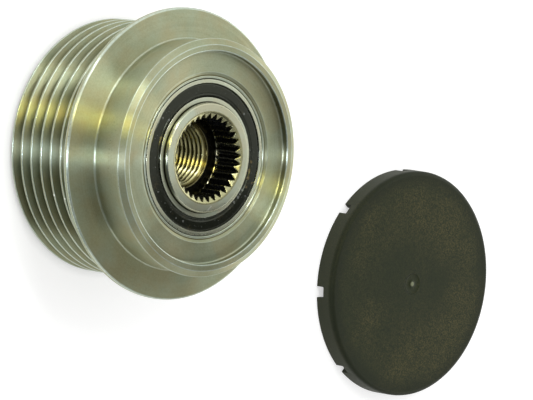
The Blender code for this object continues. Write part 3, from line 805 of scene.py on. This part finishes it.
def start_material(name, centre):
    """A new material with its tree, its shader, and where a point is, in millimetres."""
    material = bpy.data.materials.new(name)
    material.use_nodes = True
    tree = material.node_tree
    spot = put(tree, "ShaderNodeTexCoord", {}).outputs["Object"]
    moved = put(tree, "ShaderNodeVectorMath", {0: spot, 1: centre}, operation="SUBTRACT").outputs[0]
    values = {0: moved, "Scale": 1 / MM}
    place = put(tree, "ShaderNodeVectorMath", values, operation="SCALE").outputs[0]
    x, y, height = put(tree, "ShaderNodeSeparateXYZ", {0: place}).outputs
    radius = calc(tree, "SQRT", plus(tree, times(tree, x, x), times(tree, y, y)))
    angle = calc(tree, "ARCTAN2", y, x)
    return material, tree, tree.nodes["Principled BSDF"], Spot(place, radius, height, angle)


def finish_material(tree, shader, colour, rough, relief, strength, depth):
    """Links a shader's colour, roughness and bump, whose depth is in millimetres."""
    tree.links.new(colour, shader.inputs["Base Color"])
    tree.links.new(rough, shader.inputs["Roughness"])
    values = {"Strength": strength, "Distance": depth * MM, "Height": relief}
    tree.links.new(put(tree, "ShaderNodeBump", values).outputs[0], shader.inputs["Normal"])


def turning_lines(tree, spot, pitch, stretch=1.0):
    """Fine rings left by turning: noise that varies with radius and height and hardly round."""
    values = {
        0: calc(tree, "DIVIDE", spot.radius, pitch),
        1: calc(tree, "DIVIDE", spot.height, pitch),
        2: times(tree, spot.angle, stretch),
    }
    return noise(tree, put(tree, "ShaderNodeCombineXYZ", values).outputs[0], 1.0, 2.0)


def near(tree, place, mark, size, ragged=0.35):
    """A soft ragged patch round a mark, 1 in its middle and 0 away from it."""
    away = distance(tree, place, mark)
    shift = minus(tree, noise(tree, place, 1.5 / size), 0.5)
    away = plus(tree, away, times(tree, shift, ragged * size * 4))
    return fit(tree, away, size * 1.15, size * 0.55)


def level_share(tree):
    """1 on level faces and 0 on steep ones."""
    normal = put(tree, "ShaderNodeNewGeometry", {}).outputs["Normal"]
    upward = put(tree, "ShaderNodeSeparateXYZ", {0: normal}).outputs[2]
    return fit(tree, calc(tree, "ABSOLUTE", upward), 0.55, 0.95)


def turned_metal(name, centre, metal, marks=(), zones=None):
    """Turned steel: grain, rings from the tool, tint that drifts, and bright edges, worn and partly
    a painted highlight.
    """
    material, tree, shader, spot = start_material(name, centre)
    place = spot.place
    fine = steel_grain(tree, place)
    drift = fit(tree, noise(tree, place, 0.09, 3.0, 0.5), 0.35, 0.65)
    rings = turning_lines(tree, spot, 0.16)
    broad = turning_lines(tree, spot, 0.9, 0.6)
    tone = plus(tree, times(tree, grainy(tree, fine), metal.grain), times(tree, drift, 0.45))
    tone = plus(tree, tone, times(tree, grainy(tree, rings), 0.25), True)
    colour = blend_colour(tree, tone, metal.dark, metal.light)
    hue = fit(tree, noise(tree, place, 0.13, warp=0.4), 0.36, 0.64)
    drifting = blend_colour(tree, hue, COOLER, WARMER)
    colour = blend_colour(tree, 1.0, colour, drifting, "MULTIPLY")
    patchy = fit(tree, noise(tree, place, 0.8), 0.25, 0.6, 0.45, 1.0)
    # The edges' lighter tint is partly wear and partly a painted highlight, as on the rib crests.
    worn = times(tree, corner_wear(tree), patchy)
    colour = paint(tree, colour, worn, metal.worn, 0.85)
    if zones:
        colour = zones(tree, colour, spot)
    for mark, size, tint in marks:
        colour = paint(tree, colour, near(tree, place, mark, size), tint)
    smooth = metal.roughness - 0.05
    rough = fit(tree, broad, 0.25, 0.75, smooth, metal.roughness + 0.05)
    rough = plus(tree, rough, grainy(tree, fine, -0.04, 0.04))
    rough = minus(tree, rough, times(tree, worn, 0.06))
    if metal.level:
        rough = plus(tree, rough, times(tree, level_share(tree), metal.level))
    shader.inputs["Metallic"].default_value = 1.0
    shader.inputs["Anisotropic"].default_value = metal.anisotropy
    shader.inputs["Anisotropic Rotation"].default_value = 0.25
    tangent = put(tree, "ShaderNodeTangent", {}, direction_type="RADIAL", axis="Z").outputs[0]
    tree.links.new(tangent, shader.inputs["Tangent"])
    relief = plus(tree, times(tree, rings, 0.3), times(tree, fine, 0.6))
    finish_material(tree, shader, colour, rough, relief, 0.25, 0.01)
    return material


def ring_zones(tree, colour, spot):
    """The ring's painted shade in its rib roots and recess corner, painted light on its land, a
    darker line at the foot of its mouth, and painted shade in the gap at its bearing seat.
    """
    radius, height = spot.radius, spot.height
    outside = fit(tree, radius, RIB_R - 3.2, RIB_R - 3.1)
    low = fit(tree, height, RIBS_END + 0.5, RIBS_END + 0.3)
    deep = fit(tree, radius, RIB_R - 0.5, RIB_R - 2.2)
    root = times(tree, times(tree, outside, low), deep)
    # Painted shade: the rib roots darkened, where shade falls in the grooves.
    colour = paint(tree, colour, root, ROOT_SHADE, 0.6)
    land = times(tree, fit(tree, height, RIBS_END + 0.1, RIBS_END + 0.3),
                 fit(tree, height, FLANGE_BACK - 0.1, FLANGE_BACK - 0.3))
    # Painted light: the land between ribs and flange made paler, for the light it reflects.
    colour = paint(tree, colour, times(tree, outside, land), LAND_PAINTED_LIGHT)
    wall = times(tree, fit(tree, apart(tree, radius, RECESS_R), 0.1, 0.03),
                 fit(tree, height, LIP_TOP - 0.15, LIP_TOP - 0.3))
    colour = paint(tree, colour, wall, WALL_SHADE, 0.5)
    foot = fit(tree, apart(tree, radius, SEAT_R + MOUTH_LEDGE + 0.12), 0.2, 0.08)
    inside = fit(tree, height, RECESS_Z - 0.12, RECESS_Z - 0.2)
    # A darker brownish line at the foot of the mouth's corner.
    colour = paint(tree, colour, times(tree, inside, foot), MOUTH_FOOT_DARK)
    # Painted shade: the bore wall darkened where the bearing sits, in the gap between the parts.
    return paint(tree, colour, fit(tree, radius, SEAT_R + 0.12, SEAT_R + 0.02), SEAT_GAP_SHADE)


def behind_teeth(tree, spot, top, floor):
    """The triangles of the undercut's wall that light reaches through the tooth spaces."""
    turns = plus(tree, times(tree, spot.angle, SPLINE_TEETH / math.tau), 0.5)
    share = apart(tree, minus(tree, turns, calc(tree, "FLOOR", turns)), 0.5)
    reach = fit(tree, spot.height, top - 0.25, floor, 0.0, 0.4)
    lit = fit(tree, minus(tree, reach, share), 0.0, 0.04)
    return times(tree, lit, fit(tree, spot.radius, UNDERCUT_R - 0.12, UNDERCUT_R - 0.06))


def hub_zones(tree, colour, spot):
    """The hub's painted shade on its side, in its tooth spaces and undercut, painted light where
    the undercut is lit, pale tooth ends, and painted shade and highlight on its thread.
    """
    radius, height = spot.radius, spot.height
    fine = steel_grain(tree, spot.place)
    # Painted shade: the hub's side wall darkened, and its chamfer half as much, for the black seal
    # they reflect and the shade at their foot.
    side = times(tree, fit(tree, radius, HUB_SHOULDER_R - 0.08, HUB_SHOULDER_R - 0.03),
                 fit(tree, height, HUB_TOP - 0.60, HUB_TOP - 0.75))
    colour = paint(tree, colour, side, HUB_SIDE_SHADE)
    face_r = HUB_SHOULDER_R - HUB_CHAMFER
    edge = times(tree, fit(tree, radius, face_r + 0.02, face_r + 0.1),
                 fit(tree, height, HUB_TOP - 0.04, HUB_TOP - 0.1))
    colour = paint(tree, colour, edge, HUB_EDGE_SHADE, 0.5)
    lead = HUB_TOP - SPLINE_LEAD_Z
    end = HUB_TOP - SPLINE_LENGTH
    floor = end - UNDERCUT_WIDTH
    inside = fit(tree, radius, HUB_SHOULDER_R - 2.0, HUB_SHOULDER_R - 2.1)
    pale = blend_colour(tree, fit(tree, fine, 0.2, 0.8), *TOOTH_END)
    ends = times(tree, inside, fit(tree, height, end - 0.1, end))
    colour = paint(tree, colour, ends, pale)
    # Painted shade: the spline's tooth sides near black, with lighter tips standing in for their
    # faint highlights.
    sides = times(tree, fit(tree, height, end + 0.35, end + 0.45),
                  fit(tree, height, lead - 0.02, lead - 0.12))
    spline_shade = blend_colour(tree, grainy(tree, fine), *TOOTH_SIDE_SHADE)
    tips = fit(tree, radius, SPLINE_TIP_R + 0.16, SPLINE_TIP_R + 0.02)
    spline_shade = paint(tree, spline_shade, tips, TOOTH_TIP_SHADE_AND_SHEEN)
    colour = paint(tree, colour, times(tree, inside, sides), spline_shade)
    # Painted shade in the undercut, with painted light on the triangles that light reaches through
    # the tooth spaces.
    groove = times(tree, fit(tree, height, end, end - 0.03),
                   fit(tree, height, floor - 0.06, floor - 0.01))
    wall = blend_colour(tree, behind_teeth(tree, spot, end, floor), *UNDERCUT_SHADE_AND_LIGHT)
    colour = paint(tree, colour, groove, wall)
    # Painted shade in the thread's roots and a yellowish painted highlight on its crests.
    crest = fit(tree, radius, THREAD_MINOR_R + 0.45, THREAD_MINOR_R + 0.12)
    thread_shading = blend_colour(tree, crest, *THREAD_SHADE_AND_SHEEN)
    return paint(tree, colour, times(tree, inside, fit(tree, height, floor, floor - 0.05)), thread_shading)


def race_zones(tree, colour, spot):
    """Painted shade on the races at the foot of the hub's shoulder, in the gap between the parts.
    """
    foot = fit(tree, spot.radius, HUB_SHOULDER_R + 0.26, HUB_SHOULDER_R + 0.12)
    return paint(tree, colour, foot, RACE_GAP_SHADE)


def ring_marks():
    """The marks on the ring's ribs, where the photograph has them."""
    return [(on_wall(pixel, RIB_R), size, tint) for pixel, size, tint in RIB_MARKS]


def hub_marks():
    """A bright scratch on the hub's front face."""
    level = Vector((0.0, 0.0, HUB_PROUD_REAR))
    start, end = (on_level(pixel, HUB_TOP - HUB_PROUD_REAR) + level for pixel in SCRATCH)
    return [(start.lerp(end, step / 3), SCRATCH_WIDTH, SCRATCH_TINT) for step in range(4)]


def rubber_look():
    """Black satin rubber with specks of grease and brown smears."""
    material, tree, shader, spot = start_material("seal_rubber_look", (0, 0, 0))
    place = spot.place
    fine = noise(tree, place, 4.5, 4.0, 0.7)
    colour = blend_colour(tree, grainy(tree, fine), *RUBBER)
    smear = times(tree, fit(tree, noise(tree, place, 0.22, 4.0, 0.65), 0.56, 0.72),
                  fit(tree, noise(tree, place, 2.2), 0.35, 0.65))
    colour = paint(tree, colour, smear, SMEAR, 0.3)
    specks = fit(tree, noise(tree, place, 2.4, 2.0, 0.5), 0.70, 0.74)
    colour = paint(tree, colour, specks, SPECK, 0.8)
    for pixel, size, tint in SEAL_MARKS:
        mark = on_level(pixel, FRONT_BEARING_Z - 0.15) - Vector((0, 0, FRONT_BEARING_Z))
        colour = paint(tree, colour, near(tree, place, mark, size, 0.6), tint)
    shader.inputs["Specular IOR Level"].default_value = 0.36
    shader.inputs["Specular Tint"].default_value = rgb(0.93, 1.0, 0.78)
    relief = plus(tree, times(tree, fine, 0.3), specks)
    finish_material(tree, shader, colour, grainy(tree, fine, 0.12, 0.22), relief, 0.2, 0.03)
    return material


def cap_look():
    """Matt black moulded plastic, mottled olive, with ochre flecks in patches and a darker rim."""
    material, tree, shader, spot = start_material("cap_plastic_look", (0, 0, 0))
    place, radius, height = spot.place, spot.radius, spot.height
    fine = noise(tree, place, 1.6, 4.0, 0.8)
    colour = blend_colour(tree, grainy(tree, fine), *CAP_BASE)
    ring = fit(tree, apart(tree, radius, 0.68 * CAP_R), 0.36 * CAP_R, 0.08 * CAP_R)
    cloud = fit(tree, noise(tree, place, 0.06), 0.38, 0.62, 0.3, 1.0)
    patches = times(tree, cloud, fit(tree, ring, 0.0, 1.0, 0.45, 1.0))
    flecks = times(tree, fit(tree, noise(tree, place, 2.8, 3.0, 0.75), 0.44, 0.64), patches)
    colour = paint(tree, colour, flecks, OCHRE)
    rim = times(tree, fit(tree, radius, 0.84 * CAP_R, 0.95 * CAP_R),
                fit(tree, height, CAP_SKIRT, CAP_HEIGHT - 0.3))
    colour = paint(tree, colour, rim, CAP_RIM, 0.6)
    colour = paint(tree, colour, corner_wear(tree), CAP_WORN, 0.25)
    skirt = fit(tree, height, CAP_HEIGHT - 1.0, CAP_HEIGHT - 1.8)
    colour = paint(tree, colour, skirt, CAP_SIDE, 0.4)
    nub = times(tree, fit(tree, radius, 0.75, 0.45), fit(tree, height, CAP_SKIRT, CAP_HEIGHT))
    colour = paint(tree, colour, nub, CAP_NUB)
    shader.inputs["Specular IOR Level"].default_value = 0.11
    shader.inputs["Specular Tint"].default_value = rgb(0.88, 1.0, 0.66)
    relief = noise(tree, place, 5.5)
    finish_material(tree, shader, colour, grainy(tree, fine, 0.44, 0.6), relief, 0.45, 0.02)
    return material


def polyamide_look():
    """Moulded cage plastic, dark and a little glossy."""
    material, tree, shader, spot = start_material("cage_polyamide_look", RING_PLACE)
    fine = noise(tree, spot.place, 2.5)
    colour = blend_colour(tree, grainy(tree, fine), *POLYAMIDE)
    finish_material(tree, shader, colour, grainy(tree, fine, 0.42, 0.6), fine, 0.3, 0.02)
    return material


# Surroundings


def bare_tree(holder):
    """The emptied node tree of a material or a world."""
    holder.use_nodes = True
    holder.node_tree.nodes.clear()
    return holder.node_tree


def seen_rays(tree):
    """1 for the rays that show a surface white, and 0 for those that only gather light."""
    path = put(tree, "ShaderNodeLightPath", {}).outputs
    seen = plus(tree, path["Is Camera Ray"], path["Is Glossy Ray"])
    return plus(tree, seen, path["Is Transmission Ray"], True)


def make_world():
    """White behind everything and in reflections, and a softer white that lights the object."""
    world = bpy.data.worlds.new("studio")
    bpy.context.scene.world = world
    tree = bare_tree(world)
    seen = seen_rays(tree)
    soft, full = (
        put(tree, "ShaderNodeBackground", {"Color": WHITE, "Strength": strength}).outputs[0]
        for strength in (SOFT_WORLD, 1.0)
    )
    mixed = put(tree, "ShaderNodeMixShader", {0: seen, 1: soft, 2: full}).outputs[0]
    put(tree, "ShaderNodeOutputWorld", {"Surface": mixed})


def make_floor():
    """A pale disc that shows white to the camera and keeps the object's shadow."""
    shape = bmesh.new()
    bmesh.ops.create_circle(shape, cap_ends=True, segments=96, radius=FLOOR_R)
    mesh = bpy.data.meshes.new("floor")
    shape.to_mesh(mesh)
    shape.free()
    floor = add_object("floor", mesh)
    floor.location.z = -FLOOR_DROP
    material = bpy.data.materials.new("floor_look")
    tree = bare_tree(material)
    clear = seen_rays(tree)
    matt = put(tree, "ShaderNodeBsdfDiffuse", {"Color": FLOOR_GREY}).outputs[0]
    spot = put(tree, "ShaderNodeTexCoord", {}).outputs["Object"]
    # The glow fades out under the pulley and the cap: a painted shadow under them.
    for place, radius in ((RING_PLACE, FLANGE_R), (CAP_PLACE, CAP_R)):
        away = distance(tree, spot, (place.x, place.y, 0.0))
        clear = times(tree, clear, fit(tree, away, (radius - 10) * MM, (radius - 2) * MM))
    values = {"Color": WHITE, "Strength": times(tree, clear, FLOOR_GLOW)}
    glow = put(tree, "ShaderNodeEmission", values).outputs[0]
    both = put(tree, "ShaderNodeAddShader", {0: matt, 1: glow}).outputs[0]
    put(tree, "ShaderNodeOutputMaterial", {"Surface": both})
    mesh.materials.append(material)


def around(turn, lift, reach):
    """A place round the pulley from a turn and a lift in degrees, as an offset."""
    lift = math.radians(lift)
    out = image_direction(turn) * math.cos(lift) + Vector((0, 0, math.sin(lift)))
    return out * reach


def make_lamp(name, offset, size, power, colour, on_matt):
    """A rectangular lamp that looks at the pulley. It lights matt surfaces too if on_matt."""
    data = bpy.data.lights.new(name, "AREA")
    data.shape = "RECTANGLE"
    data.size, data.size_y = size
    data.energy = power
    data.color = colour
    lamp = add_object(name, data)
    lamp.location = RING_PLACE + Vector((0.01, 0.0, AIM_Z)) + offset
    lamp.rotation_mode = "QUATERNION"
    lamp.rotation_quaternion = offset.to_track_quat("Z", "Y")
    lamp.visible_diffuse = on_matt


def far_square(turn, lift, reach, width, height):
    """The corners of a card that faces the pulley from afar."""
    centre = RING_PLACE + Vector((0.0, 0.0, AIM_Z)) + around(turn, lift, reach)
    spin = around(turn, lift, 1.0).to_track_quat("Z", "Y")
    halves = ((-1, -1), (1, -1), (1, 1), (-1, 1))
    return [centre + spin @ Vector((x * width / 2, y * height / 2, 0)) for x, y in halves]


def over_face(points, lift):
    """Points in millimetres right and up of the pulley's axis in the image, above its face."""
    right, up = image_direction(270), image_direction(0)
    level = Vector((0, 0, LIP_TOP + lift))
    return [RING_PLACE + (right * x + up * y + level) * MM for x, y in points]


def make_card(name, corners, shade):
    """A plain card that only reflections see, and that gives the bright metal its darker side."""
    mesh = bpy.data.meshes.new(name)
    mesh.from_pydata(corners, [], [tuple(range(len(corners)))])
    card = add_object(name, mesh)
    material = bpy.data.materials.new(name + "_look")
    tree = bare_tree(material)
    glow = put(tree, "ShaderNodeEmission", {"Color": rgb(*shade), "Strength": 1.0}).outputs[0]
    put(tree, "ShaderNodeOutputMaterial", {"Surface": glow})
    mesh.materials.append(material)
    card.visible_camera = False
    card.visible_diffuse = False
    card.visible_shadow = False
    card.visible_transmission = False


def light_the_scene():
    make_world()
    make_floor()
    for name, place, size, power, colour, on_matt in LAMPS:
        make_lamp(name, around(*place), size, power, colour, on_matt)
    make_card("dark_card_left", far_square(117, 32, 1.3, 2.25, 1.7), (0.13, 0.15, 0.17))
    make_card("dark_card_above", far_square(84, 78, 1.3, 1.8, 1.35), (0.75, 0.75, 0.75))
    low = over_face(((44, 3), (48, 3), (110, -60), (-12, -60)), 48)
    make_card("dark_card_low", low, (0.07, 0.075, 0.08))


def dress_nodes():
    """Materials for the solids inside, which stay as they are, by a part of their names."""
    steel = turned_metal("inner_steel_look", RING_PLACE, INNER_STEEL)
    looks = {
        "_ball_": steel,
        "clutch_roller": steel,
        "clutch_cup": turned_metal("cup_steel_look", RING_PLACE, CUP_STEEL),
        "clutch_spring": turned_metal("spring_steel_look", RING_PLACE, SPRING_STEEL),
        "_cage": polyamide_look(),
    }
    for name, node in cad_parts.items():
        for part, look in looks.items():
            if part in name:
                node.material_slots[0].material = look


def main():
    make_camera()
    light_the_scene()
    plated = turned_metal("turned_plated_look", (0, 0, 0), PLATED, ring_marks(), ring_zones)
    hub_steel = turned_metal("hub_steel_look", (0, 0, 0), HUB_STEEL, hub_marks(), hub_zones)
    race_steel = turned_metal("bearing_steel_look", (0, 0, 0), RACE_STEEL, (), race_zones)
    dress_nodes()
    rubber = rubber_look()
    build_ring(plated)
    build_hub(hub_steel)
    build_bearing("front", FRONT_BEARING_Z, 1, race_steel, rubber)
    build_bearing("rear", REAR_BEARING_Z, -1, race_steel, rubber)
    build_cap(cap_look())
    bpy.context.scene.view_settings.view_transform = "Standard"


main()
